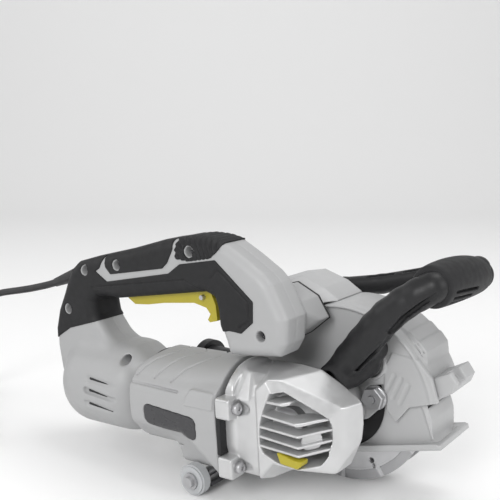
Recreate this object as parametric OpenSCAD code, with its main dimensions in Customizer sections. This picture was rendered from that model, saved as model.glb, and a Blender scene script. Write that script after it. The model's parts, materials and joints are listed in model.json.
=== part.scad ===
// Wall chaser: a motor unit with two cutting discs that plunges through a
// pivoting base with rollers. Units are millimetres, +X is the cutting
// direction, +Y runs from the motor to the guard, +Z is up, z = 0 is the floor.

/* [Discs] */
// Outer diameter of a cutting disc
disc_d = 150; // [146:1:152]
// Thickness of the rim segments
disc_t = 2.4; // [2:0.1:2.8]
// Distance between the two discs
groove_w = 26; // [24:1:26]
// Number of rim segments on a disc
segments = 12; // [8:1:14]

/* [Motor unit] */
// Outer radius of the motor housing
motor_r = 41; // [40:0.5:42]
// Wall of the plastic housings
wall = 3; // [2.5:0.5:3.5]
// Width of the rear handle
handle_w = 38; // [34:1:40]
// Nose-up tilt of the motor unit as it stands
unit_tilt = 3.5; // [2.5:0.5:4]
// Number of fins in the gear head grille
fins = 5; // [3:1:6]

/* [Base unit] */
// Nose-up tilt of the base as it stands
base_tilt = 15.7; // [15:0.1:16]
// Radius of a roller
roller_r = 13; // [11:0.5:14]
// Width of a roller
roller_w = 9; // [7:0.5:9]
// Thickness of the base plate
base_t = 4.8; // [3:0.2:5]

/* [Front handle] */
// Diameter of the front grip
grip_d = 34; // [30:1:36]
// Diameter of the front handle's far arm
arm_d = 17; // [15:1:19]

/* [Mains lead] */
// Diameter of the lead
cord_d = 7; // [6:0.5:8]
// Radius of the coil at the middle of its turns
coil_r = 41; // [38:0.5:42]

/* [Hidden] */
$fn = 64;
// Where the spindle axis meets the near disc, above the floor
spindle_h = disc_d / 2;
origin_x = 90.8;
origin_y = 21.25;
motor_y = -66;
disc_bore_r = 11.1;
hub_r = 20;
// The motor unit turns about this axis on the base unit
pivot = [-88, -20];
pivot_r = 5;
// Guard walls, along Y
upper_near = [-12.5, -10];
lower_near = [-9, -7];
lower_far = [33.5, 35.5];
upper_far = [37, 39.5];
guard_mid = 13.5;
// The depth lock's bolt, by radius and angle about the pivot, and its slot
lock_r = 129.3;
lock_a = -2.7;
slot_r = 3.5;
guard_r = 88;
guard_t = 2.5;
// Floor and rollers, in the base unit's own level frame about the pivot
sole_z = -51.3;
base_front = 176;
axle = [-4.05, -42.49];
axle_r = 4;
axle_y = [-96, 54];
bracket_y = -94;
roller_near_y = [axle_y[0] - 0.5 - roller_w, axle_y[0] - 0.5];
roller_far_y = [axle_y[1] + 0.5, axle_y[1] + 0.5 + roller_w];
// Front wall of the lower guard, swept about the pivot
lower_front_r = 170.5;
// Bevel gears: their pitch cones meet where the two axes cross
pinion_teeth = 11;
gear_teeth = 37;
gear_pitch_r = 24;
gear_ratio = gear_teeth / pinion_teeth;
pinion_pitch_r = gear_pitch_r / gear_ratio;
mesh_gap = 0.35;
// Running clearance of shafts and pins
fit = 0.05;
trigger_pivot = [-86, 90];
screw_xz = [[-224, 101], [-253, 62], [-189, 112], [-100, 124], [-22, 62], [-252, -8], [-166, 30]];
flange_screw_yz = [[-100, 11], [-100, -37], [-33, 11], [-33, -37]];
arm_low = [17, 29];
arm_boss = [52, 42];
arm_y = [-49, -23];
grip_end = 50;
lug_y = [-6, 30];
dust_r = 18;
dust_z = -8;
// Where the front leg of the rear handle meets the guard
foot_y = -22;
cord_r = cord_d / 2;
coil_centre = [-450, -115];
sleeve_droop = 17.7;
// Route of the lead from the sleeve to the coil, before the coil's turns
cord_route = [
    [-286, -66, 144.4], [-298, -66, 140.5], [-311, -66, 136.8], [-326, -66, 132.8],
    [-342, -66, 129], [-358, -66, 125.4], [-374, -66, 121.5], [-389, -66, 116],
    [-402, -66, 107.5], [-411, -66, 96], [-416, -66, 82], [-418, -66, 67],
    [-419.5, -66, 52], [-423, -66, 37.5], [-430, -66, 24], [-441, -66, 13.8],
    [-452, -66.5, 6.6], [-463, -68.4, 4]
];
tail_route = [
    [-424, -156, 24.5], [-412, -156, 23.6], [-402, -156, 20.4], [-392, -156, 15.6],
    [-382, -156, 11.6], [-372, -156, 10]
];
tail_end = tail_route[len(tail_route) - 1];

// ---------------------------------------------------------------- helpers

module place() {
    translate([origin_x, origin_y, spindle_h]) children();
}

// The motor unit's own frame: motor axis along X, spindle axis along Y
module unit() {
    place() rotate([0, -unit_tilt, 0]) children();
}

// The base unit's own frame: level about the pivot axis
module base() {
    place() translate([pivot[0], 0, pivot[1]]) rotate([0, -base_tilt, 0]) children();
}

module x_rod(r, x0, x1, y = 0, z = 0) {
    translate([x0, y, z]) rotate([0, 90, 0]) cylinder(r = r, h = x1 - x0);
}

module y_rod(r, y0, y1, x = 0, z = 0) {
    translate([x, y0, z]) rotate([-90, 0, 0]) cylinder(r = r, h = y1 - y0);
}

module y_ring(r_out, r_in, y0, y1, x = 0, z = 0) {
    difference() {
        y_rod(r_out, y0, y1, x, z);
        y_rod(r_in, y0 - 1, y1 + 1, x, z);
    }
}

module x_ring(r_out, r_in, x0, x1, y = 0, z = 0) {
    difference() {
        x_rod(r_out, x0, x1, y, z);
        x_rod(r_in, x0 - 1, x1 + 1, y, z);
    }
}

// A flat shape drawn in X and Z, given a thickness from y0 to y1
module slab(y0, y1) {
    translate([0, y1, 0]) rotate([90, 0, 0]) linear_extrude(y1 - y0) children();
}

module block(lo, hi) {
    translate(lo) cube(hi - lo);
}

// ---------------------------------------------------------------- spindle set

module spindle() {
    color("silver") unit() {
        y_rod(5, -85, -74);
        y_rod(7.5, -74, 31);
    }
}

module drive_gear() {
    cone_h = gear_pitch_r / gear_ratio;
    color("dimgray") unit() difference() {
        union() {
            translate([0, motor_y + cone_h * 0.58, 0]) rotate([-90, 0, 0])
                cylinder(r1 = gear_pitch_r * 0.58, r2 = gear_pitch_r, h = cone_h * 0.42);
            y_rod(gear_pitch_r, motor_y + cone_h, motor_y + cone_h + 3);
            y_rod(13, motor_y + cone_h + 3, -45);
        }
        y_rod(7.5, motor_y, -40);
    }
}

module inner_flange() {
    color("gray") unit() y_ring(hub_r, 7.5, -6.5, -disc_t / 2);
}

module rim_disc(y) {
    r = disc_d / 2;
    step = 360 / segments;
    first = 28.4;
    unit() translate([0, y, 0]) difference() {
        union() {
            y_rod(r - 9, -0.9, 0.9);
            y_ring(r, r - 10, -disc_t / 2, disc_t / 2);
        }
        y_rod(disc_bore_r, -3, 3);
        for (i = [0:segments - 1]) rotate([0, unit_tilt - first - i * step, 0]) {
            block([-1.4, -3, -r - 1], [1.4, 3, -r + 12]);
            y_rod(2.6, -3, 3, 0, -r + 15);
        }
    }
}

module disc_near() {
    color("gainsboro") rim_disc(0);
}

module disc_far() {
    color("gainsboro") rim_disc(groove_w);
}

// Keeps the discs apart and centres both on the spindle
module spacer_sleeve() {
    color("gray") unit() difference() {
        union() {
            y_rod(disc_bore_r - fit, -disc_t / 2, groove_w + disc_t / 2);
            y_rod(hub_r, disc_t / 2, groove_w - disc_t / 2);
        }
        y_rod(7.5, -5, groove_w + 5);
    }
}

module clamp_nut() {
    y0 = groove_w + disc_t / 2;
    color("dimgray") unit() difference() {
        y_rod(hub_r, y0, y0 + 4.6);
        y_rod(7.5, y0 - 1, y0 + 6);
        for (a = [45:90:315]) rotate([0, a, 0]) y_rod(2.2, y0 - 1, y0 + 6, 14, 0);
    }
}

// ---------------------------------------------------------------- motor

module armature_shaft() {
    color("silver") unit() {
        x_rod(4, -224, -200, motor_y);
        x_rod(6, -200, -25, motor_y);
        x_rod(3, -25, -18.4, motor_y);
    }
}

module armature_core() {
    color("peru") unit() difference() {
        union() {
            x_rod(24, -138, -90, motor_y);
            x_rod(19, -150, -80, motor_y);
        }
        x_rod(6, -160, -70, motor_y);
        for (a = [0:30:330]) translate([-140, motor_y, 0]) rotate([a, 0, 0])
            block([0, -1, 21], [52, 1, 25]);
    }
}

module commutator() {
    color("chocolate") unit() x_ring(14, 6, -178, -156, motor_y);
}

module cooling_fan() {
    color("dimgray") unit() difference() {
        union() {
            x_rod(34, -70, -67, motor_y);
            x_rod(10, -79, -60, motor_y);
            for (a = [0:30:330]) translate([-70, motor_y, 0]) rotate([a, 0, 0])
                block([-8, -1, 9], [0, 1, 33.5]);
        }
        x_rod(6, -90, -50, motor_y);
    }
}

module pinion() {
    x0 = -gear_pitch_r - mesh_gap;
    color("dimgray") unit() difference() {
        translate([x0, motor_y, 0]) rotate([0, 90, 0])
            cylinder(r1 = pinion_pitch_r - mesh_gap, r2 = pinion_pitch_r * 0.58 - mesh_gap, h = 10);
        x_rod(3, x0 - 1, x0 + 6, motor_y);
    }
}

module stator() {
    color("slategray") unit() difference() {
        x_rod(motor_r - wall, -140, -88, motor_y);
        x_rod(25, -141, -87, motor_y);
        for (s = [-1, 1]) translate([0, motor_y, 0])
            block([-141, -12, s * 27 - 7], [-87, 12, s * 27 + 7]);
    }
}

module brush_holders() {
    color("goldenrod") unit() for (s = [-1, 1]) translate([-167, motor_y + s * 25.5, 0]) difference() {
        cube([14, 17, 12], center = true);
        cube([8.2, 20, 6.2], center = true);
    }
}

module carbon_brushes() {
    color("black") unit() for (s = [-1, 1]) translate([-167, motor_y + s * 22.5, 0])
        cube([8, 16, 6], center = true);
}

module motor_bearings() {
    color("silver") unit() {
        x_ring(16, 6 + fit, -47, -37, motor_y);
        x_ring(11, 4 + fit, -221, -214, motor_y);
    }
}

module spindle_bearings() {
    color("silver") unit() {
        y_ring(17.5, 7.5 + fit, -40, -29);
        y_ring(13, 5 + fit, -84, -76);
    }
}

// ---------------------------------------------------------------- plastic housings

module motor_housing() {
    color("lightgray") unit() difference() {
        union() {
            x_rod(motor_r, -147, -53, motor_y);
            translate([-84, motor_y, 0]) rotate([0, 90, 0]) cylinder(r1 = motor_r, r2 = 45, h = 31);
            block([-104, motor_y - 17, -49], [-53, motor_y + 26, -30]);
            block([-136, -108.2, -23], [-72, -98, 5]);
        }
        x_rod(motor_r - wall, -150, -50, motor_y);
        for (a = [20:20:160]) translate([-62, motor_y, 0]) rotate([a - 90, 0, 0])
            block([0, -2.5, 30], [4, 2.5, 60]);
    }
}

module label_plate() {
    color("dimgray") unit() block([-131, -109, -18], [-76, -108.2, 1]);
}

// Side outline of the rear handle, from the front leg round to the motor
module handle_shape() {
    polygon([
        [-13, 106], [-21, 114], [-39, 124], [-56, 135], [-70, 139], [-84, 141], [-100, 140],
        [-121, 137], [-158, 128], [-203, 119], [-232, 112], [-241, 105], [-249, 97], [-258, 81],
        [-268, 65], [-276, 48], [-278, 31], [-277, 6], [-271, -18], [-262, -28], [-245, -33],
        [-220, -34], [-190, -20], [-150, -20], [-147.2, -10], [-147.2, 36], [-170, 37], [-184, 40],
        [-196, 50], [-204, 64], [-206, 76], [-200, 83], [-190, 84], [-181, 83], [-78, 97],
        [-68, 93], [-65, 84], [-64, 70], [-59, 55], [-56, 46], [-4, 46], [3, 60], [0, 80]
    ]);
}

// The hollow inside the handle
module handle_hollow() {
    polygon([[-24, 106], [-42, 118], [-60, 130], [-84, 134], [-121, 130], [-160, 121], [-205, 111],
        [-232, 104], [-245, 90], [-262, 60], [-270, 30], [-268, 4], [-262, -12], [-240, -22],
        [-226, -22], [-226, 30], [-200, 36], [-212, 60], [-213, 78], [-205, 91], [-184, 91],
        [-82, 104], [-62, 102], [-56, 84], [-56, 70], [-50, 54], [-10, 54], [-6, 62], [-8, 80]]);
}

module screw_holes() {
    for (p = screw_xz) {
        y_rod(3.6, motor_y - 50, motor_y - handle_w / 2 + 4, p[0], p[1]);
        y_rod(1.9, motor_y - 30, motor_y + 16, p[0], p[1]);
    }
}

module screw_posts() {
    for (p = screw_xz) y_rod(5.5, motor_y - handle_w / 2 + 1.5, motor_y + handle_w / 2 - 1.5, p[0], p[1]);
}

// Both halves together: handle, rear of the motor, front leg and its foot
module rear_housing() {
    half = handle_w / 2 - 1.5;
    difference() {
        union() {
            difference() {
                slab(motor_y - half, motor_y + half) handle_shape();
                slab(motor_y - half + wall, motor_y + half - wall) handle_hollow();
            }
            screw_posts();
            x_rod(motor_r, -214, -147.2, motor_y);
            translate([-236, motor_y, 0]) rotate([0, 90, 0]) cylinder(r1 = 31, r2 = motor_r, h = 22);
            block([-56, motor_y + 10, 46], [-2, foot_y, 66]);
        }
        x_rod(motor_r - wall, -211, -147, motor_y);
        x_rod(11, -221, -209, motor_y);
        x_rod(6, -228, -209, motor_y);
        screw_holes();
        slab(motor_y - 9, motor_y + 9)
            polygon([[-183, 70], [-183, 106], [-72, 106], [-70, 70]]);
        y_rod(2, motor_y - 12, motor_y + 12, trigger_pivot[0], trigger_pivot[1]);
        for (z = [-14, -7, 0, 7]) for (s = [-1, 1])
            translate([0, motor_y, 0]) block([-202, s * 38 - 8, z - 1.5], [-174, s * 38 + 8, z + 1.5]);
        at_sleeve() translate([0, 0, -5]) cylinder(r = 4.4, h = 6);
        at_sleeve() cylinder(r = 7, h = 20);
    }
}

module rear_housing_near() {
    color("lightgray") unit() intersection() {
        rear_housing();
        block([-300, -130, -60], [40, motor_y, 160]);
    }
}

module rear_housing_far() {
    color("lightgray") unit() intersection() {
        rear_housing();
        block([-300, motor_y, -60], [40, 0, 160]);
    }
}

// Side outline of the black rubber on the grip and the rear leg
module rubber_shape() {
    difference() {
        polygon([
            [-56, 130], [-70, 137], [-84, 139], [-100, 138], [-121, 135], [-158, 126], [-203, 117],
            [-231, 110], [-240, 103], [-248, 95], [-257, 80], [-266, 64], [-274, 48], [-276, 34],
            [-262, 45], [-214, 58], [-206, 76], [-200, 83], [-190, 84], [-181, 83], [-78, 97],
            [-68, 93], [-66, 100]
        ]);
        for (p = screw_xz) translate(p) circle(r = 4);
    }
}

module grip_rubber_near() {
    y = motor_y - handle_w / 2;
    color("dimgray") unit() slab(y, y + 1.5) rubber_shape();
}

module grip_rubber_far() {
    y = motor_y + handle_w / 2;
    color("dimgray") unit() slab(y - 1.5, y) rubber_shape();
}

// Ribbed thumb rest on the top of the grip
module thumb_pad() {
    color("dimgray") unit() difference() {
        slab(motor_y - 14, motor_y + 14) polygon([
            [-70, 139], [-84, 141], [-100, 140], [-121, 137], [-121, 138.6], [-100, 141.8], [-84, 142.8], [-70, 140.8]
        ]);
        for (i = [0:10]) translate([-117 + i * 4, motor_y - 20, 139.5 + (i > 7 ? 7 : i) * 0.36])
            cube([1.2, 40, 6]);
    }
}

module leg_pad_shape() {
    difference() {
        polygon([[-60, 118], [-44, 122], [-8, 92], [-8, 74], [-18, 66], [-34, 66], [-60, 84]]);
        for (p = screw_xz) translate(p) circle(r = 4);
    }
}

// One on each side of the front leg
module leg_pads() {
    half = handle_w / 2;
    color("dimgray") unit() {
        slab(motor_y - half, motor_y - half + 1.5) leg_pad_shape();
        slab(motor_y + half - 1.5, motor_y + half) leg_pad_shape();
    }
}

module housing_screws() {
    head = motor_y - handle_w / 2 + 4;
    color("silver") unit() for (p = screw_xz) {
        y_rod(3.4, head - 2.6, head, p[0], p[1]);
        y_rod(1.85, head, motor_y + 14, p[0], p[1]);
    }
}

// ---------------------------------------------------------------- trigger and switch

module trigger() {
    color("gold") unit() difference() {
        slab(motor_y - 8, motor_y + 8) polygon([
            [-174, 82], [-166, 77], [-150, 78], [-131, 81], [-97, 84], [-84, 81], [-80, 76], [-83, 71],
            [-81, 69], [-73, 71], [-74, 84], [-79, 96], [-86, 98], [-110, 95], [-172, 88]
        ]);
        y_rod(2 + fit, motor_y - 12, motor_y + 12, trigger_pivot[0], trigger_pivot[1]);
    }
}

module trigger_pin() {
    color("silver") unit() y_rod(2, motor_y - 12, motor_y + 12, trigger_pivot[0], trigger_pivot[1]);
}

module trigger_spring() {
    color("silver") unit() translate([-160, motor_y, 89.6]) rotate([0, -7, 0])
        difference() {
            cylinder(r = 3, h = 6);
            translate([0, 0, -1]) cylinder(r = 2.2, h = 8);
        }
}

module switch_module() {
    color("black") unit() block([-156, motor_y - 8.5, 106.5], [-106, motor_y + 8.5, 119]);
}

// ---------------------------------------------------------------- gear head

// Outline of the gear head's body, and of the larger cover on its end
module gear_head_shape() {
    polygon([
        [-36, -44], [0, -45], [27, -40], [38, -36], [53, -14], [55, 0], [54, 13], [50, 23], [30, 30],
        [14, 32], [-12, 35], [-36, 35]
    ]);
}

module cover_shape() {
    polygon([
        [-29, -44], [-16, -40], [0, -40], [30, -37], [44, -26], [50, -12], [50, 10], [40, 24], [8, 40],
        [-12, 42], [-29, 36]
    ]);
}

// Everything in front of the sloping face on the right of the gear head
module right_of_fold() {
    translate([20, -102, 0]) rotate([0, 0, 59]) translate([-60, -100, -80]) cube([260, 100, 160]);
}

module gear_head() {
    color("silver") unit() difference() {
        union() {
            hull() for (y = [-94, -39]) for (z = [-34, 26]) x_rod(12, -49, -35, y, z);
            difference() {
                slab(-88, -50) gear_head_shape();
                right_of_fold();
            }
            y_rod(22, -51, upper_near[1]);
            y_rod(27, upper_near[0] - 4, upper_near[0]);
            for (p = flange_screw_yz) x_rod(8, -49, -33, p[0], p[1]);
        }
        x_rod(16, -50, -37, motor_y);
        x_rod(9, -50, -8, motor_y);
        y_rod(gear_pitch_r + 2, -68, -55.2);
        y_rod(15, -55.3, -43);
        y_rod(17.5, -43, -29);
        y_rod(8, -30, 5);
        y_rod(13, -90, -76);
        y_rod(8, -90, -44);
        for (p = flange_screw_yz) x_rod(2.5, -50, -30, p[0], p[1]);
    }
}

// The opening in the cover that the fins lie in
module grille_shape() {
    polygon([[-4, 27], [-12, 12], [-14, -2], [-15, -18], [-5, -25], [31, -27], [34, -12], [33.5, 4], [5, 29]]);
}

// Cast cover on the end of the gear head, folded back on the right, with cooling fins
module gear_head_cover() {
    color("silver") unit() difference() {
        union() {
            difference() {
                slab(-102, -88) cover_shape();
                slab(-103, -90) grille_shape();
            }
            intersection() {
                for (i = [0:fins - 1]) translate([20, -101, 9 - i * 32 / fins])
                    rotate([0, 5, 0]) block([-36, 0, -1], [20, 11.5, 1]);
                slab(-103, -89) offset(1) grille_shape();
            }
        }
        block([0, -106, -27], [30, -88, -15]);
        right_of_fold();
        translate([8, -102, 38]) rotate([35, 0, 0]) block([-50, -20, -2], [50, 0, 20]);
    }
}

module flange_screws() {
    color("silver") unit() for (p = flange_screw_yz) {
        x_rod(4.4, -33, -29.5, p[0], p[1]);
        x_rod(2.4, -52.5, -33, p[0], p[1]);
    }
}

module spindle_lock_button() {
    color("gold") unit() union() {
        slab(-101.5, -96) polygon([[2, -25.5], [16, -26], [18, -22], [16, -17.5], [4, -17], [1, -20]]);
        y_rod(2.4, -96, -93.2, 9, -21);
    }
}

module lock_button_spring() {
    color("silver") unit() y_ring(4.5, 3, -95.8, -88.2, 9, -21);
}

// ---------------------------------------------------------------- guards

// Side wall of the upper guard
module upper_wall_shape() {
    difference() {
        union() {
            intersection() {
                circle(r = guard_r);
                polygon([
                    [-100, -32], [-70, -26], [-30, -24], [0, -26], [25, -10], [35, -3], [44, 3], [55, -10],
                    [90, 17], [120, 60], [60, 130], [-120, 120], [-130, 0]
                ]);
            }
            translate(pivot) circle(r = 12);
            polygon([[-112, -32], [-112, 14], [-83, 26], [-60, 20], [-60, -26]]);
        }
        translate(pivot) circle(r = pivot_r + fit);
    }
}

// Open slot in the near wall that the depth lock's bolt runs in
module lock_slot_shape() {
    top_a = lock_a + base_tilt + 2.4;
    translate(pivot) {
        rotate(top_a) translate([lock_r, 0]) circle(r = slot_r);
        intersection() {
            difference() {
                circle(r = lock_r + slot_r - 0.2);
                circle(r = lock_r - slot_r + 0.2);
            }
            polygon([[0, 0], [200, 200 * tan(top_a)], [200, -60]]);
        }
    }
}

// Rim of the upper guard, over the discs, and its closed rear end
module upper_rim_shape() {
    difference() {
        circle(r = guard_r);
        circle(r = guard_r - guard_t);
        polygon([[0, 0], [-160, 42], [-160, -200], [160, -200], [160, 30.5]]);
    }
    polygon([[-112, -32], [-112, 14], [-84, 26], [-82, 23.4], [-109.5, 12], [-109.5, -32]]);
}

module guard_lug_shape() {
    polygon([[82, 32], [88, 35], [97, 39], [101, 26], [88.5, 18], [86.6, 18]]);
}

module upper_guard_near() {
    color("lightgray") place() difference() {
        union() {
            slab(upper_near[0], upper_near[1]) upper_wall_shape();
            slab(upper_near[0] + 1, guard_mid) upper_rim_shape();
            slab(lug_y[0], guard_mid) guard_lug_shape();
            slab(upper_near[0] - 1.5, upper_near[0]) polygon([
                [30, 34], [44, 3], [55, -10], [86, 14], [80, 33], [66, 52], [50, 62]
            ]);
            rotate([0, -unit_tilt, 0]) y_rod(6, arm_y[1], upper_near[0], arm_boss[0], arm_boss[1]);
        }
        slab(-20, lower_near[0] - 0.5) lock_slot_shape();
        rotate([0, -unit_tilt, 0]) y_rod(22, -30, 0);
        x_rod(dust_r - 2.5, -120, -100, guard_mid, dust_z);
        for (i = [0:2]) translate([57 + i * 6, upper_near[0] - 1.5, 24 - i * 2]) rotate([0, 30, 0])
            cube([2, 1.2, 22], center = true);
        rotate([0, -unit_tilt, 0]) y_rod(2.6, -30, -5, arm_boss[0], arm_boss[1]);
    }
}

module upper_guard_far() {
    color("lightgray") place() difference() {
        union() {
            slab(upper_far[0], upper_far[1]) upper_wall_shape();
            slab(guard_mid, upper_far[1] - 1) upper_rim_shape();
            slab(guard_mid, lug_y[1]) guard_lug_shape();
        }
        x_rod(dust_r - 2.5, -120, -100, guard_mid, dust_z);
    }
}

// Raised block between the handle's foot and the guard, over its rear top
module guard_hood() {
    color("lightgray") place() difference() {
        slab(foot_y, upper_far[1]) polygon([[-84, 62], [-84, 84], [-46, 94], [-24, 88], [-4, 74], [-4, 62]]);
        y_rod(guard_r, upper_near[0], 60);
        slab(-30, upper_near[0]) polygon([[-90, 0], [-90, 68], [10, 62], [10, 0]]);
    }
}

// Pipe at the rear of the guard for a vacuum hose
module dust_port() {
    color("dimgray") place() difference() {
        union() {
            x_rod(dust_r, -166, -112, guard_mid, dust_z);
            x_rod(dust_r + 5, -163, -155, guard_mid, dust_z);
            x_rod(dust_r + 3, -120, -112, guard_mid, dust_z);
        }
        x_rod(dust_r - 2.5, -170, -100, guard_mid, dust_z);
    }
}

// ---------------------------------------------------------------- front handle

module front_grip() {
    color("dimgray") unit() hull() {
        y_rod(grip_d / 2 - 3, arm_y[1], grip_end, 95, 103.5);
        y_rod(grip_d / 2, arm_y[1] + 14, grip_end - 10, 95, 103.5);
    }
}

module front_arm_near() {
    color("dimgray") unit() difference() {
        union() {
            slab(arm_y[0], arm_y[1]) polygon([
                [8, 34], [29, 64], [52, 90], [68, 103], [84, 112], [95, 114], [104, 107], [106, 96], [101, 92],
                [86, 84], [66, 68], [50, 50], [30, 22], [20, 19], [11, 22]
            ]);
            y_rod(9, arm_y[0], arm_y[1], arm_low[0], arm_low[1]);
            y_rod(9, arm_y[0] + 6, arm_y[1], arm_boss[0], arm_boss[1]);
        }
        y_rod(6, arm_y[0] - 1, arm_y[0] + 9, arm_low[0], arm_low[1]);
        for (p = [arm_low, arm_boss]) y_rod(2.6, arm_y[0] - 1, arm_y[1] + 1, p[0], p[1]);
        y_rod(6, arm_y[0] - 1, arm_y[0] + 9, arm_boss[0], arm_boss[1]);
    }
}

module front_arm_far() {
    color("dimgray") unit() union() {
        y_rod(11, grip_end, 60, 95, 103.5);
        hull() {
            translate([93, 60, 102.5]) sphere(d = arm_d, $fn = 32);
            translate([-38, 60, 77]) sphere(d = arm_d, $fn = 32);
        }
        y_rod(7, upper_far[1], 60, -40, 76);
    }
}

module front_handle_bolts() {
    color("silver") unit() for (p = [arm_low, arm_boss]) {
        y_rod(4.6, arm_y[0] + 5, arm_y[0] + 9, p[0], p[1]);
        y_rod(2.5, arm_y[0] + 9, arm_y[1] + (p == arm_low ? 0 : 9), p[0], p[1]);
    }
}

// ---------------------------------------------------------------- base unit

// Side wall of the lower guard, in the frame about the pivot
module lower_wall_shape() {
    hub = [88 * cos(base_tilt) + 20 * sin(base_tilt), -88 * sin(base_tilt) + 20 * cos(base_tilt)];
    difference() {
        union() {
            intersection() {
                circle(r = lower_front_r);
                polygon([
                    [-14, sole_z + base_t], [8, sole_z + base_t], [8, sole_z], [200, sole_z],
                    [200, 14], [116, 6], [60, 16], [14, 12], [-14, 0]
                ]);
            }
            circle(r = 12);
            polygon([[150, sole_z], [174, sole_z], [173.8, sole_z + 5], [169.5, -19], [150, -19]]);
        }
        circle(r = pivot_r);
        translate(axle) circle(r = axle_r);
        translate(hub) circle(r = 33);
        translate(hub) polygon([[-33, 0], [33, 0], [30, 80], [-26, 80]]);
    }
}

module lower_guard() {
    color("gainsboro") base() difference() {
        union() {
            slab(lower_near[0], lower_near[1]) lower_wall_shape();
            slab(lower_far[0], lower_far[1]) lower_wall_shape();
            slab(lower_near[0], lower_far[1]) intersection() {
                difference() {
                    circle(r = lower_front_r);
                    circle(r = lower_front_r - 2.5);
                }
                polygon([[100, -19], [200, -19], [200, 14], [100, 6]]);
            }
            slab(lower_near[0], lower_far[1]) polygon([
                [171.5, sole_z], [174, sole_z], [173.8, sole_z + 5], [169.5, -19], [167, -19], [171.4, sole_z + 5]
            ]);
        }
        y_rod(3, -20, 0, lock_r * cos(lock_a), lock_r * sin(lock_a));
    }
}

module base_plate() {
    color("gainsboro") base() difference() {
        union() {
            block([-16, -15, sole_z], [base_front, 42, sole_z + base_t]);
            block([-14, -15, sole_z], [8, lower_near[0], -36]);
            block([-14, lower_far[1], sole_z], [8, 42, -36]);
        }
        block([8, lower_near[0], sole_z - 1], [base_front - 2, lower_far[1], sole_z + base_t + 1]);
        y_rod(axle_r, -60, 60, axle[0], axle[1]);
    }
}

// One bolt through each pair of side walls
module pivot_bolts() {
    color("silver") place() {
        y_rod(pivot_r, upper_near[0] - 0.4, lower_near[1] + 1, pivot[0], pivot[1]);
        y_rod(8, upper_near[0] - 4, upper_near[0] - 0.4, pivot[0], pivot[1]);
        y_rod(pivot_r, lower_far[0] - 1, upper_far[1] + 0.4, pivot[0], pivot[1]);
        y_rod(8, upper_far[1] + 0.4, upper_far[1] + 4, pivot[0], pivot[1]);
    }
}

module plunge_spring() {
    color("silver") place() y_ring(9, 7.4, lower_near[1] + 1, lower_near[1] + 12, pivot[0], pivot[1]);
}

module at_lock() {
    base() translate([lock_r * cos(lock_a), 0, lock_r * sin(lock_a)]) children();
}

module depth_lock_bolt() {
    color("silver") at_lock() y_rod(3, -24, lower_near[1]);
}

module depth_lock_nut() {
    color("silver") at_lock() difference() {
        union() {
            translate([0, -16.6, 0]) rotate([90, 0, 0]) cylinder(r = 9.5, h = 6, $fn = 6);
            y_rod(10.5, -16.6, -14.4);
        }
        y_rod(3 + fit, -30, 0);
    }
}

module rear_axle() {
    color("silver") base() difference() {
        y_rod(axle_r, axle_y[0], axle_y[1], axle[0], axle[1]);
        y_rod(2.5, axle_y[0] - 1, axle_y[0] + 14, axle[0], axle[1]);
        y_rod(2.5, axle_y[1] - 14, axle_y[1] + 1, axle[0], axle[1]);
    }
}

// Flat bar from the base plate out to the near end of the axle
module axle_bracket() {
    color("dimgray") base() difference() {
        union() {
            block([-12, bracket_y, sole_z], [6, -15, sole_z + 3]);
            block([-12, bracket_y, sole_z], [4, bracket_y + 3, axle[1] + 5]);
        }
        y_rod(axle_r, bracket_y - 1, bracket_y + 4, axle[0], axle[1]);
    }
}

module roller(y0, y1) {
    base() difference() {
        union() {
            y_rod(roller_r, y0 + 1.5, y1, axle[0], axle[1]);
            y_rod(roller_r - 1.5, y0, y1, axle[0], axle[1]);
        }
        y_rod(3.5 + fit, y0 - 1, y1 + 1, axle[0], axle[1]);
    }
}

module roller_near() {
    color("darkgray") roller(roller_near_y[0], roller_near_y[1]);
}

module roller_far() {
    color("darkgray") roller(roller_far_y[0], roller_far_y[1]);
}

module roller_screws() {
    color("silver") base() for (s = [0, 1]) {
        y_in = s == 0 ? axle_y[0] : axle_y[1];
        d = s == 0 ? -1 : 1;
        y_end = s == 0 ? roller_near_y[0] : roller_far_y[1];
        y_rod(3.5, min(y_in, y_end + d * 0.5), max(y_in, y_end + d * 0.5), axle[0], axle[1]);
        y_rod(2.45, min(y_in - d * 12, y_in), max(y_in - d * 12, y_in), axle[0], axle[1]);
        y_rod(7, min(y_end + d * 0.5, y_end + d * 2), max(y_end + d * 0.5, y_end + d * 2), axle[0], axle[1]);
        y_rod(4.5, min(y_end + d * 2, y_end + d * 5), max(y_end + d * 2, y_end + d * 5), axle[0], axle[1]);
    }
}

// ---------------------------------------------------------------- mains lead

// Along the sleeve, from the point where it leaves the handle
module at_sleeve() {
    translate([-249, motor_y, 97]) rotate([0, -90 - sleeve_droop, 0]) children();
}

module cord_sleeve() {
    color("black") unit() at_sleeve() {
        cylinder(r1 = 6.5, r2 = 4.2, h = 33.2);
        translate([0, 0, -5]) cylinder(r = 4.4, h = 5);
    }
}

// Points along the route, with a ring of eight corners round each
function ring_dir(p, i) = let (a = p[max(i - 1, 0)], b = p[min(i + 1, len(p) - 1)], d = b - a) d / norm(d);
function ring_at(p, i, r, n) = let (
        d = ring_dir(p, i), side = cross(d, [0, 1, 0]), u = side / norm(side), v = cross(d, u)
    ) [for (k = [0:n - 1]) p[i] + r * (cos(k * 360 / n) * u + sin(k * 360 / n) * v)];

module tube_along(p, r, n) {
    rings = len(p);
    points = [for (i = [0:rings - 1]) each ring_at(p, i, r, n)];
    sides = [for (i = [0:rings - 2]) for (k = [0:n - 1])
        [i * n + k, i * n + (k + 1) % n, (i + 1) * n + (k + 1) % n, (i + 1) * n + k]];
    caps = [[for (k = [n - 1:-1:0]) k], [for (k = [0:n - 1]) (rings - 1) * n + k]];
    polyhedron(points = points, faces = concat(sides, caps));
}

module mains_cord() {
    color("black") translate([origin_x, origin_y, 0]) tube_along(cord_route, cord_r, 8);
}

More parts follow.
